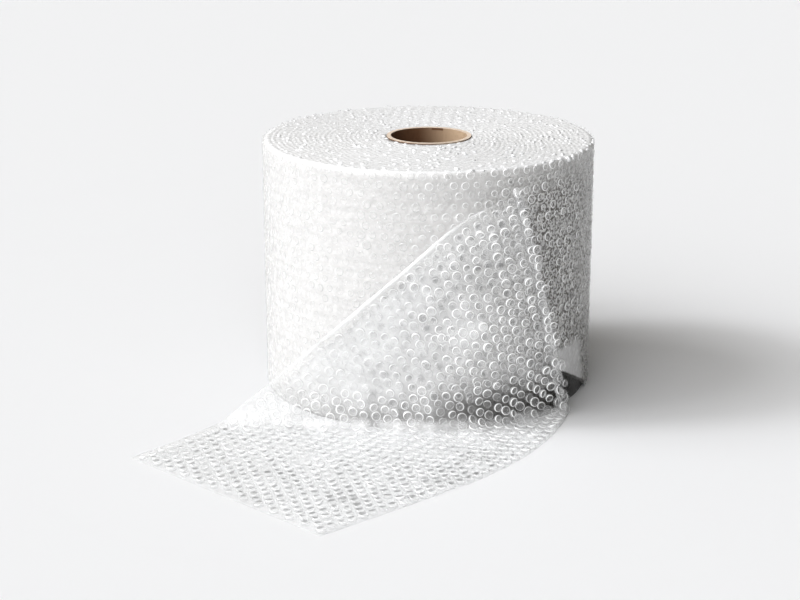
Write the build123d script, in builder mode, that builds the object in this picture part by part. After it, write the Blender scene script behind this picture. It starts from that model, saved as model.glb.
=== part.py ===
"""A roll of clear air-bubble cushioning film, standing on its end on a paperboard core.

The film is one continuous length. It is wound anticlockwise seen from above, each turn one turn
pitch further out. At the right front the outer turn folds back on itself along a leaning fold, lies
across the front of the roll, coves onto the floor and runs out flat to a straight cut end.
The roll's axis is the Z axis, the floor is z = 0 and the front is towards -Y.
"""
import os
from math import cos, radians, sin

from build123d import *

# Core and roll, in millimetres
core_bore = 76.0
core_wall = 4.0
core_fit = 0.1
turn_fit = 0.1
film_width = 250.0
roll_radius = 162.5
turn_pitch = 5.0
turn_relief = 2.2

# Loose film
film_thickness = 4.5
film_overlap = 1.0
bubble_row_pitch = 10.4
bubble_relief = 2.0

# Fold at the right front, as angles about the roll and a drop from the top
fold_foot_angle = -39.5
fold_head_angle = -61.5
fold_head_drop = 24.0
fold_loop_radius = 7.5

# Gap under the turn beside the fold, whose foot is lifted off the floor
foot_gap_height = 36.0
foot_gap_run = 80.0
foot_gap_depth = 20.0

# Film that leans on the front of the roll and leaves it on a tangent, standing flat
leave_angle = -95.0
leave_drop = 82.0
stand_run = 190.0

# Cove where the standing film turns onto the floor
cove_radius = 14.0
cove_facets = 5
cove_start_angle = -46.0

# Tail on the floor: its lower edge curves from the fold's foot into a straight run
tail_leave_heading = 258.7
tail_heading = 223.3
tail_bend_radius = 381.0
tail_edge_run = 150.0
tail_end_skew = 10.0

core_radius = core_bore / 2 + core_wall
seat_radius = core_radius + core_fit

# The turns are two half rounds whose centres lie half a pitch apart, so each turn runs into the next
half_shift = turn_pitch / 2
outer_centre = (half_shift * cos(radians(fold_foot_angle)), half_shift * sin(radians(fold_foot_angle)))
outer_radius = roll_radius + half_shift
lean_radius = outer_radius + film_thickness - film_overlap
seat_of_lean = outer_radius - film_overlap
fold_head_height = film_width - fold_head_drop
leave_height = film_width - leave_drop


def radial_plane(angle, centre=(0.0, 0.0)):
    """Upright plane through a vertical line at the centre: local x is outwards, local y is up."""
    outwards = (cos(radians(angle)), sin(radians(angle)), 0)
    facing = (sin(radians(angle)), -cos(radians(angle)), 0)
    return Plane(origin=(centre[0], centre[1], 0), x_dir=outwards, z_dir=facing)


def round_roll(angle, radius):
    """Plan position at an angle and a radius about the outer turn's centre."""
    x = outer_centre[0] + radius * cos(radians(angle))
    y = outer_centre[1] + radius * sin(radians(angle))
    return (x, y)


def roll_section(radius):
    """Half section of the roll: flat foot, straight side, a ridge for each turn across the top."""
    groove = radius
    points = [(radius, 0), (radius, film_width - turn_relief)]
    while groove > seat_radius - turn_pitch:
        points.append((groove - turn_pitch / 2, film_width))
        points.append((groove - turn_pitch, film_width - turn_relief))
        groove -= turn_pitch
    points.append((groove, 0))
    return points


def bend(start, corner, end):
    """Points of a smooth bend from start to end that leaves and arrives in line with the corner."""
    steps = [step / cove_facets for step in range(cove_facets + 1)]
    start, corner, end = Vector(*start), Vector(*corner), Vector(*end)
    return [start * (1 - t) ** 2 + corner * 2 * t * (1 - t) + end * t**2 for t in steps]


# Paperboard core
with BuildPart() as core_tube:
    with BuildSketch(Plane.XY):
        Circle(core_radius)
        Circle(core_bore / 2, mode=Mode.SUBTRACT)
    extrude(amount=film_width)
core_tube.part.label = "core_tube"

# Loop where the film turns back on itself, a leaning round cut level with the floor
loop_centre_radius = outer_radius + fold_loop_radius - film_thickness
loop_foot = Vector(*round_roll(fold_foot_angle, loop_centre_radius), 0)
loop_head = Vector(*round_roll(fold_head_angle, loop_centre_radius), fold_head_height)
loop_rise = (loop_head - loop_foot).normalized()
with BuildPart() as fold_loop:
    with BuildSketch(Plane(origin=loop_foot - loop_rise * fold_loop_radius, z_dir=loop_rise)):
        Circle(fold_loop_radius)
    extrude(amount=(loop_head - loop_foot).length + fold_loop_radius)
    split(bisect_by=Plane.XY, keep=Keep.TOP)

# Outer turn past the fold, which isn't there: the turn under it shows
fold_foot_x = round_roll(fold_foot_angle, lean_radius)[0]
fold_head_x = round_roll(fold_head_angle, lean_radius)[0]
fold_top_x = fold_foot_x + (fold_head_x - fold_foot_x) * film_width / fold_head_height
with BuildPart() as past_fold:
    with BuildSketch(Plane.XY):
        with Locations(outer_centre):
            Circle(lean_radius)
            Circle(outer_radius - turn_pitch + turn_fit, mode=Mode.SUBTRACT)
    extrude(amount=film_width)
    with BuildSketch(Plane.XZ.offset(outer_radius / 4)):
        with BuildLine():
            Polyline((fold_foot_x, 0), (fold_foot_x, film_width), (fold_top_x, film_width), close=True)
        make_face()
    extrude(amount=outer_radius, mode=Mode.INTERSECT)

# Gap under the turn beside the fold, a wedge that is highest at the fold
gap_angle = radians(fold_foot_angle) + foot_gap_run / roll_radius / 2
gap_out = Vector(cos(gap_angle), sin(gap_angle))
to_fold = Vector(sin(gap_angle), -cos(gap_angle))
gap_mouth = gap_out * (roll_radius + film_thickness)
with BuildPart() as foot_gap:
    with BuildSketch(Plane(origin=gap_mouth, x_dir=to_fold, z_dir=-gap_out)):
        with BuildLine():
            fold_side = foot_gap_run / 2
            Polyline((-fold_side, 0), (fold_side, 0), (fold_side, foot_gap_height), close=True)
        make_face()
    extrude(amount=film_thickness + foot_gap_depth)

# Film that leans on the roll: round it from the fold, then straight on, trimmed to the upper edge
leave_out = Vector(*round_roll(leave_angle, lean_radius))
leave_in = Vector(*round_roll(leave_angle, seat_of_lean))
stand_way = Vector(sin(radians(leave_angle)), -cos(radians(leave_angle)))
stand_end = leave_out + stand_way * stand_run
cove_foot = lean_radius + cove_radius
cove_top = film_thickness + cove_radius
with BuildPart() as leaning_film:
    with BuildSketch(Plane.XY):
        with BuildLine():
            lean_arc = leave_angle - fold_foot_angle
            CenterArc(outer_centre, lean_radius, fold_foot_angle, lean_arc)
            CenterArc(outer_centre, seat_of_lean, fold_foot_angle, lean_arc)
            Line(round_roll(fold_foot_angle, lean_radius), round_roll(fold_foot_angle, seat_of_lean))
            Polyline(leave_out, stand_end, stand_end + leave_in - leave_out, leave_in)
        make_face()
    extrude(amount=film_width)
    with BuildSketch(radial_plane(cove_start_angle, outer_centre)):
        with BuildLine():
            outside = bend((lean_radius, cove_top), (lean_radius, film_thickness), (cove_foot, film_thickness))
            inside = bend((cove_foot, 0), (seat_of_lean, 0), (seat_of_lean, cove_top))
            Polyline(*outside, *inside, close=True)
        make_face()
    revolve(axis=Axis((*outer_centre, 0), (0, 0, 1)), revolution_arc=leave_angle - cove_start_angle)
    with BuildSketch(radial_plane(leave_angle, outer_centre)):
        with BuildLine():
            Polyline(*outside, *inside, close=True)
        make_face()
    extrude(amount=stand_run)
    with BuildSketch(Plane.XZ.offset(outer_radius / 4)):
        with BuildLine():
            foot = (fold_foot_x, 0)
            head = (fold_head_x, fold_head_height)
            leave = (leave_out.X, leave_height)
            end = (stand_end.X, film_thickness)
            end_foot = (stand_end.X, 0)
            upper_edge = Line(end, leave)
            TangentArc(leave, head, tangent=upper_edge % 1)
            Polyline(head, foot, end_foot, end)
        make_face()
    extrude(amount=2 * outer_radius, mode=Mode.INTERSECT)

# Tail on the floor, from the cove to the straight cut end
tail_run = Vector(cos(radians(tail_heading)), sin(radians(tail_heading)))
tail_across = Vector(tail_run.Y, -tail_run.X)
tail_foot = Vector(*round_roll(fold_foot_angle, lean_radius))
tail_bend_centre = tail_foot + Vector(tail_bend_radius, 0).rotate(Axis.Z, tail_leave_heading - 90)
tail_edge_turn = tail_bend_centre - Vector(tail_bend_radius, 0).rotate(Axis.Z, tail_heading - 90)
tail_near = tail_edge_turn + tail_run * tail_edge_run
tail_far = tail_near + tail_across * film_width + tail_run * tail_end_skew
row_depth = film_thickness - bubble_relief
row_count = int(film_width // bubble_row_pitch)
row_ridges = [((row + 0.5) * bubble_row_pitch, film_thickness) for row in range(row_count)]
row_valleys = [((row + 1) * bubble_row_pitch, row_depth) for row in range(row_count)]
row_profile = [(-film_width, 0), (-film_width, row_depth), (0, row_depth)]
for ridge, valley in zip(row_ridges, row_valleys):
    row_profile += [ridge, valley]
row_profile += [(2 * film_width, row_depth), (2 * film_width, 0)]
with BuildPart() as tail:
    with BuildSketch(Plane.XY):
        with BuildLine():
            inner_radius = cove_foot - film_thickness
            inner_leave = Vector(*round_roll(leave_angle, inner_radius))
            inner_end = inner_leave + stand_way * stand_run
            Line(tail_far, tail_near)
            Line(tail_near, tail_edge_turn)
            TangentArc(tail_edge_turn, tail_foot, tangent=-tail_run)
            Line(tail_foot, round_roll(cove_start_angle, inner_radius))
            CenterArc(outer_centre, inner_radius, cove_start_angle, leave_angle - cove_start_angle)
            Polyline(inner_leave, inner_end, tail_far)
        make_face()
    extrude(amount=film_thickness)
    with BuildSketch(Plane(origin=tail_near, x_dir=tail_across, z_dir=-tail_run)):
        with BuildLine():
            Polyline(*row_profile, close=True)
        make_face()
    extrude(amount=2 * film_width, both=True, mode=Mode.INTERSECT)

# The whole film
with BuildPart() as bubble_film:
    with BuildSketch(radial_plane(fold_foot_angle)):
        with BuildLine():
            Polyline(*roll_section(roll_radius), close=True)
        make_face()
    revolve(axis=Axis.Z, revolution_arc=180)
    with BuildSketch(radial_plane(fold_foot_angle, outer_centre)):
        with BuildLine():
            Polyline(*roll_section(outer_radius), close=True)
        make_face()
    revolve(axis=Axis((*outer_centre, 0), (0, 0, 1)), revolution_arc=-180)
    with BuildSketch(Plane.XY):
        Circle(seat_radius)
    extrude(amount=film_width, mode=Mode.SUBTRACT)
    add(past_fold.part, mode=Mode.SUBTRACT)
    add(foot_gap.part, mode=Mode.SUBTRACT)
    add(leaning_film.part)
    add(fold_loop.part)
    add(tail.part)
bubble_film.part.label = "bubble_film"

os.makedirs("parts", exist_ok=True)
export_step(core_tube.part, "parts/core_tube.step")
export_step(bubble_film.part, "parts/bubble_film.step")
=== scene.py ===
from collections import namedtuple
from math import cos, pi, radians, sin, tau

import bmesh
import bpy
import numpy as np
from mathutils import Matrix, Vector


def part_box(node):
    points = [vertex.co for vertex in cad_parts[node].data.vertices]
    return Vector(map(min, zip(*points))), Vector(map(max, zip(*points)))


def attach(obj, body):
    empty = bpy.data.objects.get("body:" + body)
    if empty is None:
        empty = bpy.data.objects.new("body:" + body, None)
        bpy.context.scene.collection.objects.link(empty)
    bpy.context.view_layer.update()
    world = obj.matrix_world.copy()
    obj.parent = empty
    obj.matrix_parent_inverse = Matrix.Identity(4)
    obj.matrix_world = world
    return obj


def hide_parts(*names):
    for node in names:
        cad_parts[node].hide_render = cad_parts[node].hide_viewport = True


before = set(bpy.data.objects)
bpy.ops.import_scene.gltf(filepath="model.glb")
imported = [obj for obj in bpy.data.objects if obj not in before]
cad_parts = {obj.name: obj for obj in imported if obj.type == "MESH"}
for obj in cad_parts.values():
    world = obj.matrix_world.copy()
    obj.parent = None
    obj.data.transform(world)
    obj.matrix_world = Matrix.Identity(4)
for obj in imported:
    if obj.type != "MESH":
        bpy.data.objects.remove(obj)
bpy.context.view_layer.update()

bl_info = {
    "name": "Air-bubble Film Roll",
    "version": (1, 0, 0),
    "blender": (4, 5, 0),
    "location": "View3D > Sidebar > Film Roll",
    "description": "Dresses a roll of clear air-bubble film with its bubbles, turns and loose tail",
    "category": "Object",
}

CORE_LOW, CORE_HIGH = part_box("core_tube")
CORE_RADIUS = (CORE_HIGH.x - CORE_LOW.x) / 2
ROLL_HEIGHT = CORE_HIGH.z
LOWEST = 0.0002


# Sizes and colours

def length_value(name, description, default):
    """A length in metres, as the panel shows it."""
    return bpy.props.FloatProperty(name=name, description=description, default=default, unit="LENGTH")


def angle_value(name, description, degrees):
    """An angle, as the panel shows it."""
    return bpy.props.FloatProperty(
        name=name, description=description, default=radians(degrees), subtype="ANGLE")


def colour_value(name, description, default):
    """A colour, as the panel shows it."""
    return bpy.props.FloatVectorProperty(
        name=name, description=description, default=default, subtype="COLOR", min=0, max=1)


class FilmRollSizes(bpy.types.PropertyGroup):
    """Sizes of the film, the roll and the loose tail"""

    film_width: length_value("Film width", "From edge to edge, which is the roll's height", ROLL_HEIGHT)
    core_radius: length_value("Core radius", "Outside of the paperboard core", CORE_RADIUS)
    turn_pitch: length_value("Turn pitch", "How much each turn adds to the roll's radius", 0.005)
    back_radius: length_value("Back radius", "Outside of the roll at its back", 0.1625)
    bubble_pitch: length_value("Bubble pitch", "From bubble to bubble along a row", 0.0112)
    row_pitch: length_value("Row pitch", "From row to row across the film", 0.0097)
    bubble_radius: length_value("Bubble radius", "Radius of a bubble at its seal", 0.0049)
    bubble_height: length_value("Bubble height", "How far a bubble stands off the flat ply", 0.0036)
    pillow_height: length_value("Pillow height", "How far the flat ply swells over a bubble", 0.0008)
    ply: length_value("Ply", "Thickness of the flat ply", 0.0003)
    edge_margin: length_value("Edge margin", "Strip without bubbles along the film's edges", 0.002)
    fold_foot_angle: angle_value("Fold foot", "Where the fold meets the floor, round the roll", -40.5)
    fold_head_angle: angle_value("Fold head", "Where the fold meets the upper edge, round the roll", -62.5)
    fold_head_height: length_value("Fold head height", "Height of the fold's upper end", 0.228)
    loop_radius: length_value("Loop radius", "Radius of the loop that the film makes at the fold", 0.0055)
    sag_angle: angle_value("Sag angle", "Where the upper edge starts to fall, round the roll", -80)
    sag_height: length_value("Sag height", "Height of the upper edge where it starts to fall", 0.211)
    leave_angle: angle_value("Leave angle", "Where the film leaves the roll on a tangent", -95)
    leave_height: length_value("Leave height", "Height of the upper edge where it leaves the roll", 0.168)
    stand_run: length_value("Standing run", "Length of film that stands between roll and floor", 0.190)
    tail_leave_heading: angle_value("Tail leave heading", "Heading of the lower edge at the fold", 258.7)
    tail_heading: angle_value("Tail heading", "Heading of the straight run to the cut end", 223.3)
    tail_bend_radius: length_value("Tail bend radius", "Radius of the lower edge's curve", 0.381)
    tail_edge_run: length_value("Tail edge run", "Straight part of the lower edge", 0.150)
    tail_end_skew: length_value("Tail end skew", "How far the cut end's far corner runs ahead", 0.010)


class FilmRollColours(bpy.types.PropertyGroup):
    """Colours of the film, the core and the floor"""

    milky: colour_value("Wound film", "Many turns of clear film seen together", (0.79, 0.78, 0.765))
    # Rim is also the colour of the bubbles' painted glow, and of painted light and highlights on the film
    rim: colour_value("Bubble rim", "Seal and shoulder of a bubble", (0.96, 0.96, 0.96))
    clear: colour_value("Clear film", "A single thickness of film", (0.93, 0.93, 0.92))
    # Fleck paints shade: dark specks that show only on the side away from the light
    shade_fleck: colour_value("Fleck", "Dark specks between the bubbles", (0.085, 0.078, 0.066))
    shade: colour_value("Deep shade", "Inner turns where no light gets in", (0.015, 0.0135, 0.01))
    kraft: colour_value("Kraft board", "Paperboard of the core", (0.55, 0.39, 0.25))
    # Kraft seam also paints the shade on the left of the bore
    kraft_seam_and_shade: colour_value("Kraft seam", "Seams and stains of the paperboard", (0.125, 0.05, 0.017))
    kraft_rim: colour_value("Kraft rim", "Cut end of the paperboard", (0.8, 0.66, 0.53))
    floor: colour_value("Floor", "Plain pale floor", (0.922, 0.922, 0.922))


# Materials

# Share of its colour that a surface throws on other surfaces, which keeps the pale floor even
MILKY_THROWN = 0.12
KRAFT_THROWN = 0.15
FLOOR_THROWN = 0.45

# Share of its opacity with which clear film holds back light
FILM_SHADE = 0.12

# Core: the seam in turns, the rest in metres
SEAM_CLIMB = 11.0
SEAM_WIDTH = 0.03
# Painted shade on the left of the bore, darkest left of the first X and gone by the second
BORE_SHADE_LEFT = -0.01
BORE_SHADE_RIGHT = 0.034
TORN_PLACE = 0.009
TORN_HALF_WIDTH = 0.0058
TORN_BACK = (0.030, 0.033)
TORN_DEPTH = (0.0034, 0.0026)
RIM_DEPTH = (0.0006, 0.0002)


def new_node(tree, kind, values=None, **settings):
    """A node with its settings. Each input named in values is linked to a socket or set to a value."""
    node = tree.nodes.new(kind)
    for name, setting in settings.items():
        setattr(node, name, setting)
    for name, value in (values or {}).items():
        if isinstance(value, bpy.types.NodeSocket):
            tree.links.new(value, node.inputs[name])
        else:
            node.inputs[name].default_value = value
    return node


def new_material(name, tree_values):
    """A material with one Principled shader, whose inputs are what tree_values gives for the node tree."""
    material = bpy.data.materials.new(name)
    material.use_nodes = True
    tree = material.node_tree
    tree.nodes.clear()
    shader = new_node(tree, "ShaderNodeBsdfPrincipled", tree_values(tree))
    new_node(tree, "ShaderNodeOutputMaterial", {"Surface": shader.outputs["BSDF"]})
    return material


def object_noise(tree, scale, detail):
    """A noise on Object coordinates."""
    place = new_node(tree, "ShaderNodeTexCoord").outputs["Object"]
    values = {"Vector": place, "Scale": scale, "Detail": detail}
    return new_node(tree, "ShaderNodeTexNoise", values).outputs["Fac"]


def ranged(tree, value, low, high, start=0.0, stop=1.0):
    """The value taken from start to stop onto low to high."""
    values = {"Value": value, "From Min": start, "From Max": stop, "To Min": low, "To Max": high}
    return new_node(tree, "ShaderNodeMapRange", values).outputs["Result"]


def worked(tree, operation, *values):
    """One step of arithmetic on sockets and numbers."""
    return new_node(tree, "ShaderNodeMath", dict(enumerate(values)), operation=operation).outputs["Value"]


def mixed_colour(tree, factor, first, second):
    """Colour that goes from first, a colour or a socket, to the second colour with the factor."""
    if not isinstance(first, bpy.types.NodeSocket):
        first = (*first, 1)
    values = {"Factor": factor, "A": first, "B": (*second, 1)}
    return new_node(tree, "ShaderNodeMix", values, data_type="RGBA").outputs["Result"]


def bump(tree, height, strength, distance):
    """Normal from a height."""
    values = {"Height": height, "Strength": strength, "Distance": distance}
    return new_node(tree, "ShaderNodeBump", values).outputs["Normal"]


def attribute(tree, name):
    """A number that the mesh carries: rim on bubbles, edge on the loose film, three kinds on the turns."""
    return new_node(tree, "ShaderNodeAttribute", attribute_name=name).outputs["Fac"]


def film_alpha(tree, opacity):
    """Opacity of clear film, which holds back less light than it shows."""
    path = new_node(tree, "ShaderNodeLightPath")
    kept = ranged(tree, path.outputs["Is Shadow Ray"], 1, FILM_SHADE)
    return worked(tree, "MULTIPLY", opacity, kept)


def seen_ray(tree):
    """1 where a surface is seen, in a reflection or through glass too, and 0 where it only throws light."""
    path = new_node(tree, "ShaderNodeLightPath")
    seen = path.outputs["Is Camera Ray"]
    for kind in ("Is Glossy Ray", "Is Transmission Ray"):
        seen = worked(tree, "MAXIMUM", seen, path.outputs[kind])
    return seen


def shown(tree, colour, thrown):
    """The colour where it is seen, and a share of it where it only throws light on other surfaces."""
    values = {0: colour, "Scale": ranged(tree, seen_ray(tree), thrown, 1)}
    return new_node(tree, "ShaderNodeVectorMath", values, operation="SCALE").outputs["Vector"]


def milky_material(colours):
    """Many turns of film: milky, glossy, cloudy at the scale of the bubbles, with painted shade in dark
    flecks away from the light, in the crease and in deep gaps.
    """

    def values(tree):
        cloud = object_noise(tree, scale=130, detail=3)
        darker = [0.92 * channel for channel in colours.milky]
        clouded = ranged(tree, cloud, 0, 1, start=0.35, stop=0.65)
        speckled = ranged(tree, object_noise(tree, scale=400, detail=2), 0, 1, start=0.42, stop=0.56)
        # Painted shade: dark flecks on the side away from the light, as the turns mark it
        shade_flecked = worked(tree, "MULTIPLY", speckled, attribute(tree, "shade_fleck"))
        tone = mixed_colour(tree, clouded, darker, colours.milky)
        tone = mixed_colour(tree, shade_flecked, tone, colours.shade_fleck)
        # White: the cut edges' own white, and painted light on the smooth patch
        tone = mixed_colour(tree, attribute(tree, "white"), tone, colours.rim)
        tone = mixed_colour(tree, attribute(tree, "shade"), tone, colours.shade)
        fine = object_noise(tree, scale=330, detail=2)
        return {
            "Base Color": shown(tree, tone, MILKY_THROWN),
            "Subsurface Weight": 0.15,
            "Subsurface Radius": (1, 1, 1),
            "Subsurface Scale": 0.012,
            "Roughness": ranged(tree, cloud, 0.16, 0.36),
            "Specular IOR Level": ranged(tree, seen_ray(tree), 0, 0.8),
            "Normal": bump(tree, fine, strength=0.4, distance=0.0014),
        }

    return new_material("milky_turns", values)


def edge_material(colours):
    """Cut edges of the turns on the roll's top: white seals, glossy."""

    def values(_):
        return {"Base Color": (*colours.rim, 1), "Roughness": 0.3, "Specular IOR Level": 0.7}

    return new_material("turn_edge_film", values)


def bubble_material(colours, name, opaque, glow):
    """Bubbles: clear tops and thin white glossy rims, with a painted glow on the rims."""

    def values(tree):
        rim = attribute(tree, "rim")
        return {
            "Base Color": mixed_colour(tree, rim, colours.clear, colours.rim),
            "Alpha": film_alpha(tree, ranged(tree, rim, 0.06, opaque)),
            "Roughness": 0.1,
            "Specular IOR Level": seen_ray(tree),
            "Coat Weight": seen_ray(tree),
            # Painted glow: the rims give out light of their own
            "Emission Color": (*colours.rim, 1),
            "Emission Strength": ranged(tree, rim, 0, glow, start=0.4, stop=1),
        }

    return new_material(name, values)


def ply_material(colours):
    """The loose film's flat ply: clear, glossy, faintly clouded, white where its edge attribute says, which
    holds its own whiter edges and painted light and highlights.
    """

    def values(tree):
        # The edge attribute holds the ply's own whiter edges, and painted light and highlights
        edge = attribute(tree, "edge")
        cloud = ranged(tree, object_noise(tree, scale=60, detail=3), 0.06, 0.26, start=0.3, stop=0.7)
        opacity = worked(tree, "MULTIPLY_ADD", edge, 0.7, cloud)
        opacity.node.use_clamp = True
        fine = object_noise(tree, scale=180, detail=2)
        return {
            "Base Color": mixed_colour(tree, edge, colours.clear, colours.rim),
            "Alpha": film_alpha(tree, opacity),
            "Roughness": 0.1,
            "Specular IOR Level": seen_ray(tree),
            "Coat Weight": ranged(tree, seen_ray(tree), 0, 0.6),
            "Normal": bump(tree, fine, strength=0.5, distance=0.001),
        }

    return new_material("clear_ply", values)


def torn_ply(tree, split):
    """1 where the inner ply is torn away, just under the rim at the back of the bore."""
    torn = worked(tree, "COMPARE", split.outputs["X"], TORN_PLACE, TORN_HALF_WIDTH)
    low, high = (ROLL_HEIGHT - depth for depth in TORN_DEPTH)
    torn = worked(tree, "MULTIPLY", torn, ranged(tree, split.outputs["Z"], 0, 1, low, high))
    return worked(tree, "MULTIPLY", torn, ranged(tree, split.outputs["Y"], 0, 1, *TORN_BACK))


def kraft_material(colours):
    """Spiral-wound kraft board: fibres, a seam that climbs round the tube, painted shade on the left of the
    bore, and a torn ply.
    """

    def values(tree):
        place = new_node(tree, "ShaderNodeTexCoord").outputs["Object"]
        turned = new_node(tree, "ShaderNodeTexGradient", {"Vector": place}, gradient_type="RADIAL")
        split = new_node(tree, "ShaderNodeSeparateXYZ", {"Vector": place})
        climb = worked(tree, "MULTIPLY_ADD", split.outputs["Z"], SEAM_CLIMB, turned.outputs["Fac"])
        fibre = object_noise(tree, scale=240, detail=5)
        marked = ranged(tree, worked(tree, "FRACT", climb), 1, 0, stop=SEAM_WIDTH)
        for mark in (
            ranged(tree, fibre, 0, 0.35, start=0.4, stop=0.75),
            # Painted shade, darker towards the left of the bore
            ranged(tree, split.outputs["X"], 0.98, 0, start=BORE_SHADE_LEFT, stop=BORE_SHADE_RIGHT),
            torn_ply(tree, split),
        ):
            marked = worked(tree, "MAXIMUM", marked, mark)
        low, high = (ROLL_HEIGHT - depth for depth in RIM_DEPTH)
        end = ranged(tree, split.outputs["Z"], 0, 1, low, high)
        tone = mixed_colour(tree, marked, colours.kraft, colours.kraft_seam_and_shade)
        tone = mixed_colour(tree, end, tone, colours.kraft_rim)
        return {
            "Base Color": shown(tree, tone, KRAFT_THROWN),
            "Normal": bump(tree, fibre, strength=0.3, distance=0.0006),
            "Roughness": 0.85,
        }

    return new_material("kraft_board", values)


def floor_material(colours):
    """Plain pale floor that throws back less light than it shows, and keeps the shadow."""

    def values(tree):
        plain = new_node(tree, "ShaderNodeRGB").outputs["Color"]
        plain.default_value = (*colours.floor, 1)
        return {"Base Color": shown(tree, plain, FLOOR_THROWN), "Roughness": 0.8, "Specular IOR Level": 0.1}

    return new_material("pale_floor", values)


# Places round the roll and along the film

# Soft limits, here and in the pieces, are a place and the length over which they fade

# Smooth patch low down beside the fold: a height and a share of the turn
BARE_TOP = (0.062, 0.006)
BARE_START = (0.935, 0.012)

# Where the outer turn settles onto the roll: a height from the fold's head and a share of the turn
SETTLE_HEIGHT = (-0.03, 0.02)
SETTLE_TURN = 0.07

# Pillows differ by chance, and reach a little past their bubbles
PILLOW_SEED = 5
PILLOW_ROWS = 64
PILLOW_COLUMNS = 128
PILLOW_LEAST = 0.4
PILLOW_REACH = 1.2
PILLOW_POWER = 1.5


def rise(value, start, reach):
    """Goes from 0 to 1 as the value climbs past the start."""
    return np.clip((value - start) / reach, 0, 1)


def fall(value, stop, reach):
    """Goes from 1 to 0 as the value climbs up to the stop."""
    return np.clip((stop - value) / reach, 0, 1)


def fold_angle(sizes, height):
    """Angle of the fold at a height."""
    lean = (sizes.fold_head_angle - sizes.fold_foot_angle) / sizes.fold_head_height
    return sizes.fold_foot_angle + lean * height


def turn_radius(sizes, turn):
    """Outside of the outer turn, a share of a turn before the fold: one pitch further out at the fold."""
    front = np.cos(tau * np.minimum(turn, 0.5))
    return sizes.back_radius + sizes.turn_pitch * (1 + front) / 2


def on_roll(sizes, turn, height, proud=0.0):
    """Places on the outer turn, a share of a turn before the fold and at a height."""
    angle = fold_angle(sizes, height) - tau * turn
    above = rise(height - sizes.fold_head_height, *SETTLE_HEIGHT)
    settled = sizes.turn_pitch * above * np.exp(-((turn / SETTLE_TURN) ** 2))
    radius = turn_radius(sizes, turn) - settled + proud
    return np.stack([radius * np.cos(angle), radius * np.sin(angle), height + 0 * radius], axis=-1)


def turn_at(sizes, angle, height):
    """Share of a turn before the fold at an angle and a height."""
    return ((fold_angle(sizes, height) - angle) / tau) % 1


def smooth_patch(turn, height):
    """1 on the smooth patch low down beside the fold, where the outer turn shows no bubbles."""
    return rise(turn, *BARE_START) * fall(height, *BARE_TOP)


def bubbles_a_turn(sizes):
    """How many bubbles of a row go round the roll."""
    return round(tau * sizes.back_radius / sizes.bubble_pitch)


def pillows(sizes, angle, height):
    """How far the outer turn's flat ply swells over the bubbles behind it, in staggered level rows."""
    chance = np.random.default_rng(PILLOW_SEED)
    strengths = chance.uniform(PILLOW_LEAST, 1.0, (PILLOW_ROWS, PILLOW_COLUMNS))
    row = np.rint(height / sizes.row_pitch)
    count = bubbles_a_turn(sizes)
    along = angle / tau * count - 0.5 * (row % 2)
    number = np.rint(along)
    aside = np.hypot((along - number) * sizes.bubble_pitch, height - row * sizes.row_pitch)
    dome = np.clip(1 - (aside / (PILLOW_REACH * sizes.bubble_radius)) ** 2, 0, 1) ** PILLOW_POWER
    strength = strengths[row.astype(int) % PILLOW_ROWS, number.astype(int) % count]
    return sizes.pillow_height * dome * strength


def lean_circle(sizes):
    """Centre and radius of the front of the roll, which the loose film leans on."""
    shift = sizes.turn_pitch / 2
    centre = shift * np.array([cos(sizes.fold_foot_angle), sin(sizes.fold_foot_angle)])
    return centre, sizes.back_radius + shift


def on_wall(sizes, along, height, proud):
    """Places on the leaning film: round the roll from the fold's foot, then straight on, standing."""
    centre, radius = lean_circle(sizes)
    round_run = radius * (sizes.fold_foot_angle - sizes.leave_angle)
    angle = sizes.fold_foot_angle - np.minimum(along, round_run) / radius
    outwards = np.stack([np.cos(angle), np.sin(angle)], axis=-1)
    onwards = np.stack([np.sin(angle), -np.cos(angle)], axis=-1)
    past = np.maximum(along - round_run, 0)
    plan = centre + outwards * (radius + proud)[..., None] + onwards * past[..., None]
    return np.concatenate([plan, (height + 0 * along)[..., None]], axis=-1)


def smoothed(points, spread):
    """A line of evenly spaced points, rounded over a few neighbours, with its ends kept."""
    reach = int(3 * spread) + 1
    offsets = np.arange(-reach, reach + 1)
    weights = np.exp(-0.5 * (offsets / spread) ** 2)
    weights /= weights.sum()
    head = 2 * points[0] - points[reach:0:-1]
    tail = 2 * points[-1] - points[-2:-reach - 2:-1]
    padded = np.concatenate([head, points, tail])
    return np.stack([np.convolve(values, weights, "valid") for values in padded.T], axis=1)


def run_of(points):
    """How far along a line each of its points is."""
    steps = np.linalg.norm(np.diff(points, axis=0), axis=1)
    return np.concatenate([[0], np.cumsum(steps)])


def taken(wanted, run, points):
    """Places at the wanted distances along a line."""
    return np.stack([np.interp(wanted, run, values) for values in points.T], axis=1)


def spaced(points, count):
    """The same line as count points at even distances."""
    run = run_of(points)
    return taken(np.linspace(0, run[-1], count), run, points)


def wave(along, across, counts):
    """A sine that turns so many radians along and across, and where it starts."""
    return np.sin(counts[0] * along + counts[1] * across + counts[2])


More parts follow.
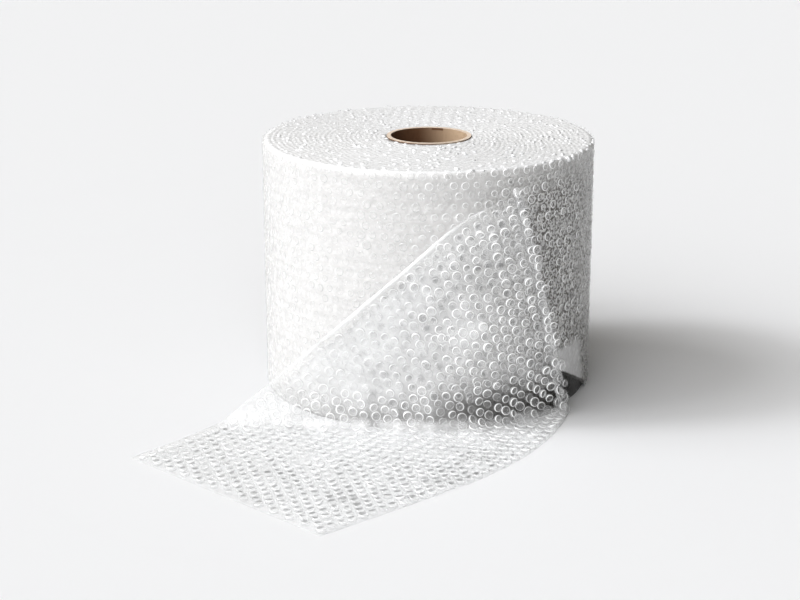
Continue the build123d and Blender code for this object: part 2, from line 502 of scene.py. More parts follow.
class TailLayout:
    """The loose film as a grid: rows run from the fold to the cut end, columns from the lower edge up."""

    ROWS = 64
    COLUMNS = 112
    LOOP_STEPS = 10
    BEND_STEPS = 40
    FINE = 260
    EDGE_ROUND = 16
    COVE_ROUND = 17
    REST = 0.0006
    STAND_OFF = 0.0028
    LIFT_RUN = 0.05
    BOW_POWER = 1.5

    # Waves in the film: a share, then radians along it and across it, and where each wave starts
    SWELLS = ((1.0, (23, 7, 0), (11, -13, 1.1)), (0.6, (41, -17, 0.4), (5, 19, 0)))
    PUCKERS = ((1.0, (38, 9, 0)), (0.5, (67, -5, 2)))
    SWELL_HEIGHT = 0.0011
    PUCKER_HEIGHT = 0.0012
    PUCKER_PLACE = 0.03
    PUCKER_REACH = 0.035
    CALM_FOLD = 8
    CALM_END = 12

    # Bubbles: from the cut end, how far on a row's direction is taken, and the specks along the fold
    END_MARGIN = 0.002
    AHEAD = 0.003
    FOLD_SPECKS = 0.0065
    SPECKS_FROM = 0.03

    def __init__(self, sizes):
        self.sizes = sizes
        self.upper = self.upper_edge()
        self.lower = self.lower_edge()
        run = np.array([cos(sizes.tail_heading), sin(sizes.tail_heading)])
        across = np.array([run[1], -run[0]])
        self.near = self.lower[-1]
        self.far = self.near + across * sizes.film_width + run * sizes.tail_end_skew
        self.grid = self.with_loop(self.draped())
        self.normals = self.grid_normals(self.grid)

    def upper_edge(self):
        """Upper edge on the wall, as distance from the fold's foot and height."""
        sizes = self.sizes
        radius = lean_circle(sizes)[1]
        head = radius * (sizes.fold_foot_angle - sizes.fold_head_angle)
        leave = radius * (sizes.fold_foot_angle - sizes.leave_angle)
        sag = radius * (sizes.fold_foot_angle - sizes.sag_angle)
        corners = np.array([
            (head, sizes.fold_head_height), (sag, sizes.sag_height),
            (leave, sizes.leave_height), (leave + sizes.stand_run, 0)])
        return smoothed(spaced(corners, self.FINE), self.EDGE_ROUND)

    def lower_edge(self):
        """Lower edge on the floor in plan: a curve from the fold's foot, then a straight run."""
        sizes = self.sizes
        foot = on_wall(sizes, np.array(0.0), 0.0, np.array(sizes.ply))[:2]
        bend = sizes.tail_bend_radius
        headings = np.linspace(sizes.tail_leave_heading, sizes.tail_heading, self.BEND_STEPS)
        sideways = np.stack([np.cos(headings - pi / 2), np.sin(headings - pi / 2)], axis=1)
        curve = foot + bend * (sideways[0] - sideways)
        run = np.array([cos(sizes.tail_heading), sin(sizes.tail_heading)])
        return spaced(np.vstack([curve, curve[-1] + run * sizes.tail_edge_run]), self.FINE)

    def draped(self):
        """Rows of the film from the fold down the wall, round the cove and out over the floor."""
        sizes = self.sizes
        rows = []
        even = np.linspace(0, 1, self.FINE)
        chord = self.lower[0] + even[:, None] * (self.lower[-1] - self.lower[0])
        for share in np.linspace(0, 1, self.ROWS + 1):
            along, height = share * self.upper.T
            from_fold = np.concatenate([[0], np.cumsum(np.hypot(np.diff(along), np.diff(height)))])
            lift = np.clip(1 - from_fold / self.LIFT_RUN, 0, 1)
            lift = lift * lift * (3 - 2 * lift)
            proud = self.STAND_OFF + (2 * sizes.loop_radius - self.STAND_OFF) * lift
            wall = on_wall(sizes, along, height, proud)
            foot = wall[-1, :2]
            end = self.near + share * (self.far - self.near)
            bow = (self.lower - chord) * (1 - share) ** self.BOW_POWER
            floor = foot + even[:, None] * (end - foot) + bow
            floor = np.column_stack([floor, np.full(self.FINE, self.REST)])
            line = np.vstack([wall, floor[1:]])
            line = smoothed(spaced(line, 2 * self.FINE), self.COVE_ROUND)
            line[:, 2] = np.maximum(line[:, 2], self.REST)
            rows.append(spaced(line, self.COLUMNS + 1))
        return self.buckled(np.array(rows))

    def buckled(self, grid):
        """Loose swells over the floor and puckers where the cove goes round the roll."""
        rows, columns = grid.shape[:2]
        across, along = np.meshgrid(np.linspace(0, 1, rows), np.linspace(0, 1, columns), indexing="ij")
        swell = sum(
            share * wave(along, across, first) * wave(along, across, second)
            for share, first, second in self.SWELLS)
        centre, radius = lean_circle(self.sizes)
        plan = grid[..., :2] - centre
        out = np.hypot(plan[..., 0], plan[..., 1]) - radius
        turn = np.arctan2(plan[..., 1], plan[..., 0])
        near_cove = np.exp(-((out + grid[..., 2] - self.PUCKER_PLACE) / self.PUCKER_REACH) ** 2)
        pucker = sum(share * wave(turn, across, counts) for share, counts in self.PUCKERS)
        calm = np.minimum(1, self.CALM_FOLD * along) * np.minimum(1, self.CALM_END * (1 - along))
        push = calm * (self.SWELL_HEIGHT * swell + self.PUCKER_HEIGHT * near_cove * pucker)
        moved = grid + self.grid_normals(grid) * push[..., None]
        moved[..., 2] = np.maximum(moved[..., 2], self.REST)
        return moved

    def with_loop(self, grid):
        """The loop at the fold, from the roll's own surface round to the film that lies back over it."""
        sizes = self.sizes
        centre, _ = lean_circle(sizes)
        start = grid[:, 0]
        outwards = start - np.array([*centre, 0])
        outwards[:, 2] = 0
        outwards /= np.linalg.norm(outwards, axis=1)[:, None]
        fold = start[-1] - start[0]
        fold /= np.linalg.norm(fold)
        sideways = np.cross(outwards, fold)
        middle = start - outwards * sizes.loop_radius
        columns = []
        for angle in np.linspace(-pi / 2, pi / 2, self.LOOP_STEPS + 1)[:-1]:
            columns.append(middle + sizes.loop_radius * (cos(angle) * sideways + sin(angle) * outwards))
        loop = np.stack(columns, axis=1)
        loop[..., 2] = np.maximum(loop[..., 2], self.REST)
        return np.concatenate([loop, grid], axis=1)

    @staticmethod
    def grid_normals(grid):
        """Unit normals of the bubble side, which faces up on the floor and outwards on the wall."""
        up = np.gradient(grid, axis=0)
        on = np.gradient(grid, axis=1)
        normal = np.cross(up, on)
        normal /= np.maximum(np.linalg.norm(normal, axis=-1), 1e-9)[..., None]
        return -normal if normal[..., 2].sum() < 0 else normal

    def lattice(self):
        """Where the bubbles sit: places, normals and row directions, in staggered rows along the film."""
        sizes = self.sizes
        width = sizes.film_width
        first = sizes.edge_margin + sizes.bubble_radius
        count = int((width - 2 * first) / sizes.row_pitch) + 1
        runs = [run_of(row) for row in self.grid]
        places, normals, headings = [], [], []
        for row in range(count):
            share = (first + row * sizes.row_pitch) / width * self.ROWS
            low = int(share)
            part = share - low
            run = runs[low] * (1 - part) + runs[low + 1] * part
            line = self.grid[low] * (1 - part) + self.grid[low + 1] * part
            facing = self.normals[low] * (1 - part) + self.normals[low + 1] * part
            offset = sizes.bubble_radius + self.END_MARGIN + (row % 2) * sizes.bubble_pitch / 2
            wanted = np.arange(run[-1] - offset, 0, -sizes.bubble_pitch)
            spots = taken(wanted, run, line)
            places.append(spots)
            normals.append(taken(wanted, run, facing))
            headings.append(taken(wanted + self.AHEAD, run, line) - spots)
        for column in (self.LOOP_STEPS // 2, self.LOOP_STEPS):
            line = self.grid[:, column]
            aims = self.normals[:, column]
            marks = spaced(np.column_stack([line, aims]), int(width / self.FOLD_SPECKS))
            marks = marks[marks[:, 2] > self.SPECKS_FROM]
            places.append(marks[:, :3])
            normals.append(marks[:, 3:])
            headings.append(np.tile(line[-1] - line[0], (len(marks), 1)))
        return np.vstack(places), np.vstack(normals), np.vstack(headings)


# Meshes

# How one kind of bubble looks: rings of radius, height and rim, sides, and how much they differ by chance
BubbleLook = namedtuple("BubbleLook", "profile segments spread tilt seed")

# How much one bubble's rim may differ from the next
RIM_LEAST = 0.45
RIM_MOST = 1.55


def grid_faces(rows, columns, around=False):
    """Quads of a grid of points, closed round its columns if asked."""
    faces = []
    for row in range(rows - 1):
        for column in range(columns if around else columns - 1):
            after = (column + 1) % columns
            faces.append((
                row * columns + column, row * columns + after,
                (row + 1) * columns + after, (row + 1) * columns + column))
    return faces


def new_piece(name, points, faces, material, smooth=True):
    """An object at the origin with that mesh and material."""
    mesh = bpy.data.meshes.new(name)
    mesh.from_pydata([tuple(point) for point in points], [], faces)
    mesh.materials.append(material)
    mesh.polygons.foreach_set("use_smooth", [smooth] * len(mesh.polygons))
    mesh.update()
    piece = bpy.data.objects.new(name, mesh)
    bpy.context.scene.collection.objects.link(piece)
    return piece


def dress(piece, slot, *nodes):
    """Hangs the piece under the root body and hides the solids it stands for; the finish it is given is not
    used.
    """
    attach(piece, "root")
    if nodes:
        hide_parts(*nodes)


def carry(mesh, name, values, domain="POINT"):
    """Gives the mesh a number for each point or face, which its material reads."""
    mark = mesh.attributes.new(name, "FLOAT", domain)
    mark.data.foreach_set("value", np.asarray(values, np.float32).ravel())


def bubble_shape(name, profile, segments):
    """A closed bubble of unit radius and height on the flat ply, from rings of radius, height and rim."""
    points, rims = [], []
    for radius, height, rim in profile:
        for step in range(segments):
            angle = tau * step / segments
            points.append((radius * cos(angle), radius * sin(angle), height))
        rims += [rim] * segments
    faces = grid_faces(len(profile), segments, around=True)
    top = len(faces)
    faces.append(tuple(range(top, top + segments)))
    faces.append(tuple(reversed(range(segments))))
    rims = rims[:top] + [profile[-1][2], 0.0]
    mesh = bpy.data.meshes.new(name)
    mesh.from_pydata(points, [], faces)
    mesh.polygons.foreach_set("use_smooth", [True] * len(faces))
    carry(mesh, "rim", rims, "FACE")
    mesh.update()
    shape = bpy.data.objects.new(name, mesh)
    bpy.context.scene.collection.objects.link(shape)
    return shape


def bubble_tree(name):
    """Geometry Nodes that set a bubble on every point, turned as it says, each a little different."""
    tree = bpy.data.node_groups.new(name, "GeometryNodeTree")
    tree.is_modifier = True
    sockets = {}
    for label, kind in (
        ("Geometry", "Geometry"), ("Bubble", "Object"), ("Radius", "Float"), ("Height", "Float"),
        ("Spread", "Float"), ("Seed", "Int"), ("Material", "Material"),
    ):
        socket = tree.interface.new_socket(name=label, in_out="INPUT", socket_type="NodeSocket" + kind)
        sockets[label] = socket.identifier
    tree.interface.new_socket(name="Geometry", in_out="OUTPUT", socket_type="NodeSocketGeometry")
    given = new_node(tree, "NodeGroupInput").outputs
    shape = new_node(tree, "GeometryNodeObjectInfo", {"Object": given["Bubble"]})
    turn = new_node(tree, "GeometryNodeInputNamedAttribute", {"Name": "turn"}, data_type="FLOAT_VECTOR")
    rotation = new_node(tree, "FunctionNodeEulerToRotation", {"Euler": turn.outputs["Attribute"]})
    # Inputs 2 and 3 are the least and the most of the Float kind, and output 1 is its result
    least = worked(tree, "SUBTRACT", 1.0, given["Spread"])
    limits = {2: least, 3: 1.0, "Seed": given["Seed"]}
    chance = new_node(tree, "FunctionNodeRandomValue", limits, data_type="FLOAT")
    axes = {"X": given["Radius"], "Y": given["Radius"], "Z": given["Height"]}
    size = new_node(tree, "ShaderNodeCombineXYZ", axes).outputs["Vector"]
    scale = {0: size, "Scale": chance.outputs[1]}
    varied = new_node(tree, "ShaderNodeVectorMath", scale, operation="SCALE")
    place = new_node(tree, "GeometryNodeInstanceOnPoints", {
        "Points": given["Geometry"], "Instance": shape.outputs["Geometry"],
        "Rotation": rotation.outputs["Rotation"], "Scale": varied.outputs["Vector"]})
    real = new_node(tree, "GeometryNodeRealizeInstances", {"Geometry": place.outputs["Instances"]})
    finish = new_node(tree, "GeometryNodeSetMaterial", {
        "Geometry": real.outputs["Geometry"], "Material": given["Material"]})
    new_node(tree, "NodeGroupOutput", {"Geometry": finish.outputs["Geometry"]})
    return tree, sockets


def turned_to(normal, heading, tilt):
    """Euler angles that stand a bubble along the normal with its x along the heading, tipped a little."""
    upright = Vector(normal).normalized()
    side = upright.cross(Vector(heading)).normalized()
    along = side.cross(upright)
    turn = Matrix((along, side, upright)).transposed()
    tip = Matrix.Rotation(tilt[0], 3, "X") @ Matrix.Rotation(tilt[1], 3, "Y")
    return (turn @ tip).to_euler()


def bubbled(name, spots, look, radius, height, material):
    """A piece with a bubble on each spot: places, normals and headings."""
    places, normals, headings = spots
    shape = bubble_shape(name + "_shape", look.profile, look.segments)
    tilts = np.random.default_rng(look.seed).normal(0, look.tilt, (len(places), 2))
    piece = new_piece(name, places, [], material)
    turns = piece.data.attributes.new("turn", "FLOAT_VECTOR", "POINT")
    angles = [turned_to(*spot) for spot in zip(normals, headings, tilts)]
    turns.data.foreach_set("vector", np.array(angles, np.float32).ravel())
    tree, sockets = bubble_tree(name + "_nodes")
    modifier = piece.modifiers.new("bubbles", "NODES")
    modifier.node_group = tree
    for label, value in (
        ("Bubble", shape), ("Radius", radius), ("Height", height),
        ("Spread", look.spread), ("Seed", look.seed), ("Material", material),
    ):
        modifier[sockets[label]] = value
    bpy.context.view_layer.update()
    evaluated = piece.evaluated_get(bpy.context.evaluated_depsgraph_get())
    mesh = bpy.data.meshes.new_from_object(evaluated)
    mesh.name = name
    corners = np.empty(3 * len(mesh.vertices), np.float32)
    mesh.vertices.foreach_get("co", corners)
    corners[2::3] = np.maximum(corners[2::3], LOWEST)
    mesh.vertices.foreach_set("co", corners)
    piece.modifiers.remove(modifier)
    piece.data = mesh
    bpy.data.node_groups.remove(tree)
    bpy.data.objects.remove(shape)
    if not len(mesh.polygons):
        raise RuntimeError(name + " has no bubbles")
    return piece


def dim_rims(mesh, look, brightness, seed):
    """Scales the rims by where they are, and from bubble to bubble by chance."""
    faces_each = (len(look.profile) - 1) * look.segments + 2
    rim = mesh.attributes["rim"]
    values = np.empty(len(mesh.polygons), np.float32)
    rim.data.foreach_get("value", values)
    middles = np.empty(3 * len(mesh.polygons), np.float32)
    mesh.polygons.foreach_get("center", middles)
    if len(values) % faces_each:
        raise RuntimeError(mesh.name + " has part of a bubble")
    lively = np.random.default_rng(seed).uniform(RIM_LEAST, RIM_MOST, len(values) // faces_each)
    values *= np.repeat(lively, faces_each) * brightness(middles.reshape(-1, 3))
    rim.data.foreach_set("value", np.clip(values, 0, 1).astype(np.float32))


# Pieces

class FILMROLL_OT_core(bpy.types.Operator):
    """Finish the paperboard core"""

    bl_idname = "film_roll.core"
    bl_label = "Paperboard core"

    def execute(self, context):
        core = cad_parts["core_tube"]
        core.data.materials.clear()
        core.data.materials.append(kraft_material(context.scene.film_roll_colours))
        return {"FINISHED"}


class FILMROLL_OT_turns(bpy.types.Operator):
    """Build the wound turns: pillows over the bubbles, the lifted foot, the spiral of edges on top"""

    bl_idname = "film_roll.turns"
    bl_label = "Wound turns"

    COLUMNS = 420
    SIDE_ROWS = 118
    STEPS_A_TURN = 4
    EDGE_RELIEF = 0.0004
    EDGE_ROUND = 0.003
    FOOT_LIFT = 0.044
    FOOT_START = 0.921
    FOOT_DEPTH = 0.004
    CORE_GAP = 0.0002
    TOP_GAP = 0.0012
    RIPPLE = 0.0003
    MERGE = 0.00001

    # Painted shade in dark flecks on the side away from the light: where they face, how squarely, and how
    # they fade out towards the top
    SHADE_FLECK_HEADING = radians(-12)
    SHADE_FLECK_FACING = (0.4, 0.4)
    SHADE_FLECK_TOP = 0.006
    SHADE_FLECK_FADE = 0.04

    # White: painted light on the smooth patch, and the cut edges' own white over the last bit of height
    PATCH_WHITE = 0.8
    EDGE_WHITE = 0.0008

    # Painted shade in the crease behind the loose film, which gets lower away from the fold, and under the
    # lifted turn
    CREASE_REACH = 0.33
    CREASE_HEIGHT = 0.044
    CREASE_LEAST = 0.25
    CREASE_GROWTH = 1.1
    CREASE_POWER = 0.55
    UNDER_SHARE = 0.01

    def execute(self, context):
        sizes = context.scene.film_roll_sizes
        turns = np.linspace(0, 1, self.COLUMNS + 1)
        inner = sizes.core_radius + self.CORE_GAP
        top = sizes.film_width - self.TOP_GAP
        rings, shades = self.foot(sizes, turns, inner)
        for share in np.linspace(0, 1, self.SIDE_ROWS):
            ring, shade = self.side(sizes, turns, share, top)
            rings.append(ring)
            shades.append(shade)
        for ring in self.turn_edges(sizes, turns, rings[-1], inner, top):
            rings.append(ring)
            shades.append(0 * turns)
        columns = len(turns)
        faces = grid_faces(len(rings), columns, around=True)
        head = (len(rings) - 1) * columns
        for column in range(columns):
            after = (column + 1) % columns
            faces.append((head + column, head + after, after, column))
        points = np.concatenate(rings)
        piece = new_piece("wound_turns", points, faces, milky_material(context.scene.film_roll_colours))
        carry(piece.data, "shade", np.concatenate(shades))
        self.tint(piece.data, sizes, points, top)
        joined = bmesh.new()
        joined.from_mesh(piece.data)
        bmesh.ops.remove_doubles(joined, verts=joined.verts, dist=self.MERGE)
        joined.to_mesh(piece.data)
        joined.free()
        piece.data.flip_normals()
        dress(piece, "clear_film", "bubble_film")
        return {"FINISHED"}

    def tint(self, mesh, sizes, points, top):
        """Marks where painted shade shows as dark flecks, away from the light, and where the film is white:
        painted light on the smooth patch and the cut edges' own white.
        """
        angle = np.arctan2(points[:, 1], points[:, 0])
        height = points[:, 2]
        away = rise(np.cos(angle - self.SHADE_FLECK_HEADING), *self.SHADE_FLECK_FACING)
        low = fall(height, top + self.SHADE_FLECK_TOP, self.SHADE_FLECK_FADE)
        patch = smooth_patch(turn_at(sizes, angle, height), height)
        edges = rise(height - top, -self.EDGE_WHITE, self.EDGE_WHITE)
        carry(mesh, "shade_fleck", away * low * (1 - patch))
        carry(mesh, "white", np.maximum(self.PATCH_WHITE * patch, edges))

    def lifted(self, turns):
        """Height of the outer turn's foot, which is lifted off the floor beside the fold."""
        return LOWEST + self.FOOT_LIFT * rise(turns, self.FOOT_START, 1 - self.FOOT_START)

    def foot(self, sizes, turns, inner):
        """Rings of the flat foot, out to the deep gap under the lifted turn."""
        floor = 0 * turns + LOWEST
        outside = on_roll(sizes, turns, floor)
        middle = outside.copy()
        middle[:, :2] *= (inner / np.linalg.norm(outside[:, :2], axis=1))[:, None]
        deep = on_roll(sizes, turns, floor, -self.FOOT_DEPTH)
        raised = on_roll(sizes, turns, self.lifted(turns), -self.FOOT_DEPTH)
        gap = (turns > self.FOOT_START).astype(float)
        return [middle, deep, raised], [0 * turns, gap, gap]

    def side(self, sizes, turns, share, top):
        """One ring of the side, swollen over the bubbles and rounded off at the top, and its shade."""
        foot = self.lifted(turns)
        height = foot + share * (top - foot)
        swell = pillows(sizes, fold_angle(sizes, height) - tau * turns, height)
        swell *= 1 - smooth_patch(turns, height)
        over = np.maximum(height - top + self.EDGE_ROUND, 0)
        rounding = self.EDGE_ROUND - np.sqrt(self.EDGE_ROUND**2 - np.minimum(over, self.EDGE_ROUND) ** 2)
        # Painted shade in the crease behind the loose film, and under the lifted turn
        near_fold = np.clip(1 - turns / self.CREASE_REACH, 0, 1)
        reach = self.CREASE_HEIGHT * (self.CREASE_LEAST + self.CREASE_GROWTH * near_fold)
        crease = np.exp(-((height / reach) ** 4)) * near_fold**self.CREASE_POWER
        under = (turns > self.FOOT_START) * (share < self.UNDER_SHARE)
        return on_roll(sizes, turns, height, swell - rounding), np.maximum(crease, under)

    def turn_edges(self, sizes, turns, edge, inner, top):
        """Rings across the top: a ridge for each turn, rippled by the bubbles under it."""
        outer = np.linalg.norm(edge[:, :2], axis=1)
        aim = edge[:, :2] / outer[:, None]
        step = sizes.turn_pitch / self.STEPS_A_TURN
        for number in range(1, int((outer.min() - inner) / step)):
            radius = outer - number * step
            part = (number % self.STEPS_A_TURN) / self.STEPS_A_TURN
            relief = self.EDGE_RELIEF * (1 - abs(part - 0.5) * 2)
            waves = round(tau * radius.mean() / sizes.bubble_pitch)
            ripple = self.RIPPLE * np.sin(turns * tau * waves + number)
            yield np.column_stack([aim * radius[:, None], top + relief + ripple])
        yield np.column_stack([aim * inner, 0 * turns + top])


class FILMROLL_OT_skin(bpy.types.Operator):
    """Set the outer turn's bubbles, whose rims show through the flat ply round the roll's side"""

    bl_idname = "film_roll.skin"
    bl_label = "Bubbles round the side"

    LOOK = BubbleLook(
        profile=((1.0, 0.0, 0.4), (0.98, 0.7, 1.0), (0.84, 0.9, 0.1), (0.6, 1.0, 0.0)),
        segments=9, spread=0.35, tilt=0.06, seed=17)
    RADIUS = 0.0046
    HEIGHT = 0.0009
    PROUD = 0.0005
    OPAQUE = 0.9
    GLOW = 0.3
    RIM_SEED = 29

    # Rows, and how far bubbles stray from them by chance
    FIRST_ROW = 0.0055
    LAST_ROW = 0.2455
    STRAY_SEED = 3
    STRAY_HEIGHT = 0.0004
    STRAY_ANGLE = 0.003

    # The turns lie looser at the right front, and no rims show on the smooth patch or in the crease
    LOOSE_ANGLE = radians(-60)
    LOOSE_REACH = radians(36)
    TIGHT_RIM = 0.27
    PATCH_LIMIT = 0.2
    SHADED_TURN = 0.3
    SHADED_TOP = 0.048

    def execute(self, context):
        sizes = context.scene.film_roll_sizes
        count = bubbles_a_turn(sizes)
        rows = round((self.LAST_ROW - self.FIRST_ROW) / sizes.row_pitch) + 1
        row, number = np.divmod(np.arange(rows * count), count)
        chance = np.random.default_rng(self.STRAY_SEED)
        height = np.linspace(self.FIRST_ROW, self.LAST_ROW, rows)[row]
        height = height + chance.normal(0, self.STRAY_HEIGHT, rows * count)
        angle = tau * (number + 0.5 * (row % 2)) / count + chance.normal(0, self.STRAY_ANGLE, rows * count)
        turn = turn_at(sizes, angle, height)
        bare = smooth_patch(turn, height) > self.PATCH_LIMIT
        bare |= height < self.SHADED_TOP * (1 - turn / self.SHADED_TURN)
        places = on_roll(sizes, turn, height, self.PROUD)[~bare]
        outwards = np.stack([np.cos(angle), np.sin(angle), 0 * angle], axis=1)[~bare]
        headings = np.stack([-np.sin(angle), np.cos(angle), 0 * angle], axis=1)[~bare]
        colours = context.scene.film_roll_colours
        material = bubble_material(colours, "wound_bubbles", self.OPAQUE, self.GLOW)
        spots = (places, outwards, headings)
        piece = bubbled("side_bubbles", spots, self.LOOK, self.RADIUS, self.HEIGHT, material)
        dim_rims(piece.data, self.LOOK, self.brightness, self.RIM_SEED)
        dress(piece, "clear_film")
        return {"FINISHED"}

    def brightness(self, middles):
        """Dims the rims round the roll but for its right front, where the turns lie looser."""
        angle = np.arctan2(middles[:, 1], middles[:, 0])
        loose = np.exp(-(((angle - self.LOOSE_ANGLE) / self.LOOSE_REACH) ** 4))
        return self.TIGHT_RIM + (1 - self.TIGHT_RIM) * loose


class FILMROLL_OT_edges(bpy.types.Operator):
    """Set the cut row of bubbles that shows between the turns on the roll's top"""

    bl_idname = "film_roll.edges"
    bl_label = "Turn edges"

    LOOK = BubbleLook(
        profile=((1.0, 0.0, 1.0), (0.9, 0.7, 0.6), (0.6, 1.0, 0.0)),
        segments=10, spread=0.5, tilt=0.45, seed=11)
    RADIUS = 0.0038
    HEIGHT = 0.003
    DEPTH = 0.0036
    LEAN = 0.25
    FIRST_TURN = 0.3
    LAST_TURN = 0.1
    STRAY_SEED = 23
    STRAY = 0.0012

    def execute(self, context):
        sizes = context.scene.film_roll_sizes
        turns = (sizes.back_radius - sizes.core_radius) / sizes.turn_pitch
        places, normals, headings = [], [], []
        chance = np.random.default_rng(self.STRAY_SEED)
        height = sizes.film_width - self.DEPTH
        turn = self.FIRST_TURN
        while turn < turns - self.LAST_TURN:
            radius = sizes.core_radius + turn * sizes.turn_pitch + chance.uniform(-self.STRAY, self.STRAY)
            aside, ahead = cos(tau * turn), sin(tau * turn)
            places.append((radius * aside, radius * ahead, height))
            normals.append((-aside, -ahead, self.LEAN))
            headings.append((0, 0, 1))
            turn += sizes.bubble_pitch / (tau * radius)
        spots = (np.array(places), np.array(normals), np.array(headings))
        material = edge_material(context.scene.film_roll_colours)
        piece = bubbled("turn_edge_bubbles", spots, self.LOOK, self.RADIUS, self.HEIGHT, material)
        dress(piece, "clear_film")
        return {"FINISHED"}


class FILMROLL_OT_tail(bpy.types.Operator):
    """Fold the film back, drape it down the front of the roll and lay its tail on the floor"""

    bl_idname = "film_roll.tail"
    bl_label = "Loose tail"

    LOOK = BubbleLook(
        profile=(
            (1.0, 0.0, 0.4), (0.99, 0.45, 0.4), (0.95, 0.74, 1.0), (0.86, 0.93, 0.15), (0.66, 1.0, 0.0)),
        segments=12, spread=0.2, tilt=0.14, seed=7)
    OPAQUE = 0.95
    GLOW = 0.34
    RIM_SEED = 31

    # White of the upper edge along the film, partly its own and partly a painted highlight, of the next row
    # as a share of it, and of the loop up the fold
    EDGE_RUN = (0.1, 0.28, 0.46, 0.55, 0.75)
    EDGE_WHITE = (-0.15, 0.8, 0.9, 0.35, 0.05)
    NEXT_ROW = 0.2
    LOOP_WHITE = (0.2, -0.15)

    # Painted light: a white veil over the lit left, off the floor and off the upper rows
    LIT_VEIL = 0.45
    LIT_VEIL_RIGHT_FADE = 0.12
    LIT_VEIL_LEFT = (-0.19, 0.09)
    LIT_VEIL_LOW = (0.014, 0.03)
    LIT_VEIL_ROWS = 3

    # Painted highlight on the swell at the front
    SHINE = 0.3
    SHINE_RIM = 0.7
    SHINE_ASIDE = 0.037
    SHINE_HEIGHT = 0.1
    SHINE_REACH = 0.021

    # Painted light on the cove, low down and close to the roll
    COVE = 0.26
    COVE_TOP = (0.012, 0.005)
    COVE_OUT = (0.06, 0.03)

    # Clear strip on the right, where the painted shade of the crease shows through
    STRIP = 0.3
    STRIP_LEFT = (-0.02, 0.06)
    STRIP_HEIGHT = 0.022
    STRIP_REACH = 0.018

    # Rims are dimmer on the floor, and on the left above the crease
    FLOOR_RIM = 0.5
    FLOOR_TOP = (0.006, 0.012)
    LEFT_DIM = 0.5
    LEFT_FADE = 0.1
    LEFT_LOW = (0.022, 0.02)

    def execute(self, context):
        sizes = context.scene.film_roll_sizes
        colours = context.scene.film_roll_colours
        layout = TailLayout(sizes)
        rows, columns = layout.grid.shape[:2]
        film = new_piece(
            "tail_film", layout.grid.reshape(-1, 3), grid_faces(rows, columns), ply_material(colours))
        if Vector(layout.normals[rows // 2, -5]).dot(film.data.polygons[-1].normal) < 0:
            film.data.flip_normals()
        # The edge attribute carries the ply's own whiter edges, and painted light and highlights
        carry(film.data, "edge", self.whiteness(layout))
        wall = film.modifiers.new("ply", "SOLIDIFY")
        wall.thickness = sizes.ply
        wall.offset = -1
        dress(film, "clear_film", "bubble_film")
        material = bubble_material(colours, "loose_bubbles", self.OPAQUE, self.GLOW)
        bubbles = bubbled(
            "tail_bubbles", layout.lattice(), self.LOOK, sizes.bubble_radius, sizes.bubble_height, material)
        dim_rims(bubbles.data, self.LOOK, self.brightness, self.RIM_SEED)
        dress(bubbles, "clear_film")
        return {"FINISHED"}

    def whiteness(self, layout):
        """How white the ply is at each point of its grid, with its own whiter edges and painted light and
        highlights, where less than nothing makes it clearer.
        """
        rows, columns = layout.grid.shape[:2]
        aside = layout.grid[..., 0]
        height = layout.grid[..., 2]
        white = np.zeros((rows, columns), np.float32)
        # Upper edge: partly the ply's own whiter edge, partly a painted highlight
        white[-1] = np.interp(np.linspace(0, 1, columns), self.EDGE_RUN, self.EDGE_WHITE)
        white[-2] = self.NEXT_ROW * white[-1]
        white[:, :layout.LOOP_STEPS] = np.linspace(*self.LOOP_WHITE, rows)[:, None]
        # Painted light on the lit left
        left = np.clip(0.5 - aside / self.LIT_VEIL_RIGHT_FADE, 0, 1) * rise(aside, *self.LIT_VEIL_LEFT)
        inside = fall(np.arange(rows), rows - 2, self.LIT_VEIL_ROWS)[:, None]
        white += self.LIT_VEIL * left * rise(height, *self.LIT_VEIL_LOW) * inside
        # Painted highlight on the swell at the front
        white += self.SHINE * self.shine(layout.grid)
        centre, radius = lean_circle(layout.sizes)
        out = np.linalg.norm(layout.grid[..., :2] - centre, axis=-1) - radius
        # Painted light on the cove
        white += self.COVE * fall(height, *self.COVE_TOP) * fall(out, *self.COVE_OUT)
        # Clearer strip, so that the painted shade of the crease shows through
        strip = np.exp(-(((height - self.STRIP_HEIGHT) / self.STRIP_REACH) ** 2))
        white -= self.STRIP * rise(aside, *self.STRIP_LEFT) * strip
        return white

    def brightness(self, middles):
        """Dims the rims on the floor, where the pale floor shows through, and on the bright left, and
        brightens them at the painted highlight.
        """
        raised = rise(middles[:, 2], *self.FLOOR_TOP)
        left = np.clip(0.5 - middles[:, 0] / self.LEFT_FADE, 0, 1)
        left = self.LEFT_DIM * left * rise(middles[:, 2], *self.LEFT_LOW)
        share = (self.FLOOR_RIM + (1 - self.FLOOR_RIM) * raised) * (1 - left)
        return share * (1 + self.SHINE_RIM * self.shine(middles))

    def shine(self, points):
        """1 at the swell on the front of the loose film where a highlight is painted, 0 away from it."""
        aside = (points[..., 0] - self.SHINE_ASIDE) / self.SHINE_REACH
        above = (points[..., 2] - self.SHINE_HEIGHT) / self.SHINE_REACH
        return np.exp(-(aside**2) - above**2)


# Stage

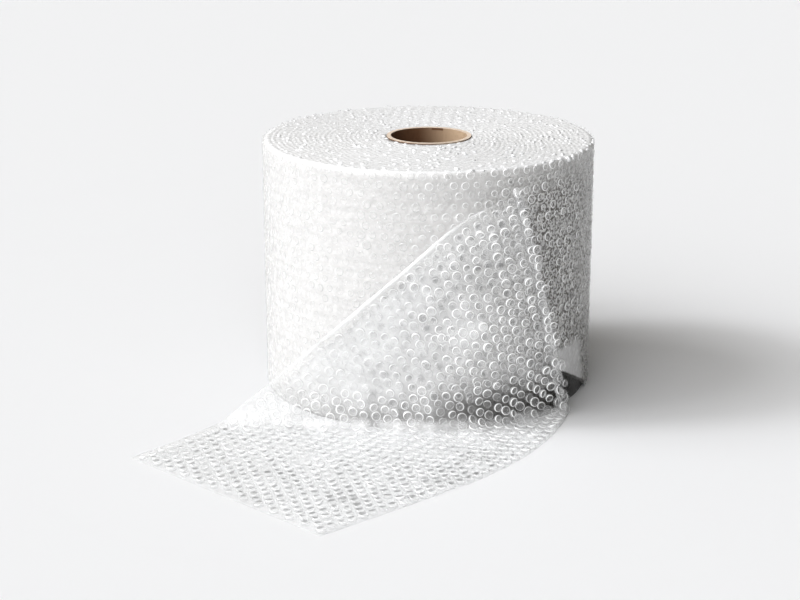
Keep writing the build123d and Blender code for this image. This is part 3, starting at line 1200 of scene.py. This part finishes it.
class FILMROLL_OT_stage(bpy.types.Operator):
    """Lay the floor, light it softly from the left and set the camera"""

    bl_idname = "film_roll.stage"
    bl_label = "Floor, light and camera"

    FLOOR_REACH = 12.0
    CAMERA_PLACE = (-0.02879, -1.834, 0.624)
    CAMERA_TILT = radians(73.452)
    CAMERA_LENS = 84.56
    CAMERA_SENSOR = 36

    # Lamps: name, tilt, heading, spread and strength
    LAMPS = (
        ("key_light", radians(49), radians(-86), radians(36), 1.39),
        ("glint_light", radians(49), radians(-86), radians(12), 0.74),
        ("front_light", radians(68), radians(-28), radians(80), 2.62),
    )
    LAMP_COLOUR = (0.985, 1.0, 1.03)

    # Light from all round: how much it gives and how bright it looks, less towards the right
    FILL_COLOUR = (1.0, 0.955, 0.88)
    FILL_STRENGTH = 0.34
    SEEN_BACKGROUND = 0.87
    RIGHT_SHARE = 0.1
    LEFT_LIMIT = -0.6
    RIGHT_LIMIT = 0.8

    def execute(self, context):
        self.lay_floor(context.scene.film_roll_colours)
        self.light(context.scene)
        self.aim_camera(context.scene)
        context.scene.view_settings.view_transform = "Standard"
        return {"FINISHED"}

    def lay_floor(self, colours):
        """A floor that reaches far past what the camera sees."""
        reach = self.FLOOR_REACH
        corners = [(-reach, -reach, 0), (reach, -reach, 0), (reach, reach, 0), (-reach, reach, 0)]
        floor = new_piece("floor", corners, [(0, 1, 2, 3)], floor_material(colours), smooth=False)

    def light(self, scene):
        """Lamps, and a world that is brighter on the left."""
        for name, tilt, heading, spread, strength in self.LAMPS:
            data = bpy.data.lights.new(name, "SUN")
            data.energy = strength
            data.color = self.LAMP_COLOUR
            data.angle = spread
            lamp = bpy.data.objects.new(name, data)
            lamp.rotation_euler = (tilt, 0, heading)
            scene.collection.objects.link(lamp)
        world = bpy.data.worlds.new("studio")
        scene.world = world
        world.use_nodes = True
        tree = world.node_tree
        tree.nodes.clear()
        way = new_node(tree, "ShaderNodeTexCoord").outputs["Generated"]
        split = new_node(tree, "ShaderNodeSeparateXYZ", {"Vector": way})
        sided = ranged(tree, split.outputs["X"], 1, self.RIGHT_SHARE, self.LEFT_LIMIT, self.RIGHT_LIMIT)
        level = ranged(tree, seen_ray(tree), self.FILL_STRENGTH, self.SEEN_BACKGROUND)
        studio = new_node(tree, "ShaderNodeBackground", {
            "Color": (*self.FILL_COLOUR, 1), "Strength": worked(tree, "MULTIPLY", level, sided)})
        new_node(tree, "ShaderNodeOutputWorld", {"Surface": studio.outputs["Background"]})

    def aim_camera(self, scene):
        """The camera in front of the roll, looking down at it a little."""
        data = bpy.data.cameras.new("camera")
        data.lens = self.CAMERA_LENS
        data.sensor_width = self.CAMERA_SENSOR
        camera = bpy.data.objects.new("camera", data)
        camera.location = self.CAMERA_PLACE
        camera.rotation_euler = (self.CAMERA_TILT, 0, 0)
        scene.collection.objects.link(camera)
        scene.camera = camera


class FILMROLL_PT_panel(bpy.types.Panel):
    """Sidebar panel of the film roll"""

    bl_idname = "FILMROLL_PT_panel"
    bl_label = "Film Roll"
    bl_space_type = "VIEW_3D"
    bl_region_type = "UI"
    bl_category = "Film Roll"

    def draw(self, context):
        """A button for each piece, then the sizes and colours."""
        for operator in PIECES:
            self.layout.operator(operator.bl_idname)
        for group in (context.scene.film_roll_sizes, context.scene.film_roll_colours):
            for name in group.__annotations__:
                self.layout.prop(group, name)


PIECES = (
    FILMROLL_OT_core,
    FILMROLL_OT_turns,
    FILMROLL_OT_skin,
    FILMROLL_OT_edges,
    FILMROLL_OT_tail,
    FILMROLL_OT_stage,
)
CLASSES = (FilmRollSizes, FilmRollColours, *PIECES, FILMROLL_PT_panel)


def register():
    """Makes the sizes, colours, operators and panel known."""
    for item in CLASSES:
        bpy.utils.register_class(item)
    bpy.types.Scene.film_roll_sizes = bpy.props.PointerProperty(type=FilmRollSizes)
    bpy.types.Scene.film_roll_colours = bpy.props.PointerProperty(type=FilmRollColours)


def unregister():
    """Takes back what register made known."""
    del bpy.types.Scene.film_roll_colours
    del bpy.types.Scene.film_roll_sizes
    for item in reversed(CLASSES):
        bpy.utils.unregister_class(item)


def main():
    """Builds every piece and the stage."""
    register()
    bpy.ops.film_roll.core()
    bpy.ops.film_roll.turns()
    bpy.ops.film_roll.skin()
    bpy.ops.film_roll.edges()
    bpy.ops.film_roll.tail()
    bpy.ops.film_roll.stage()


if __name__ == "__main__":
    main()
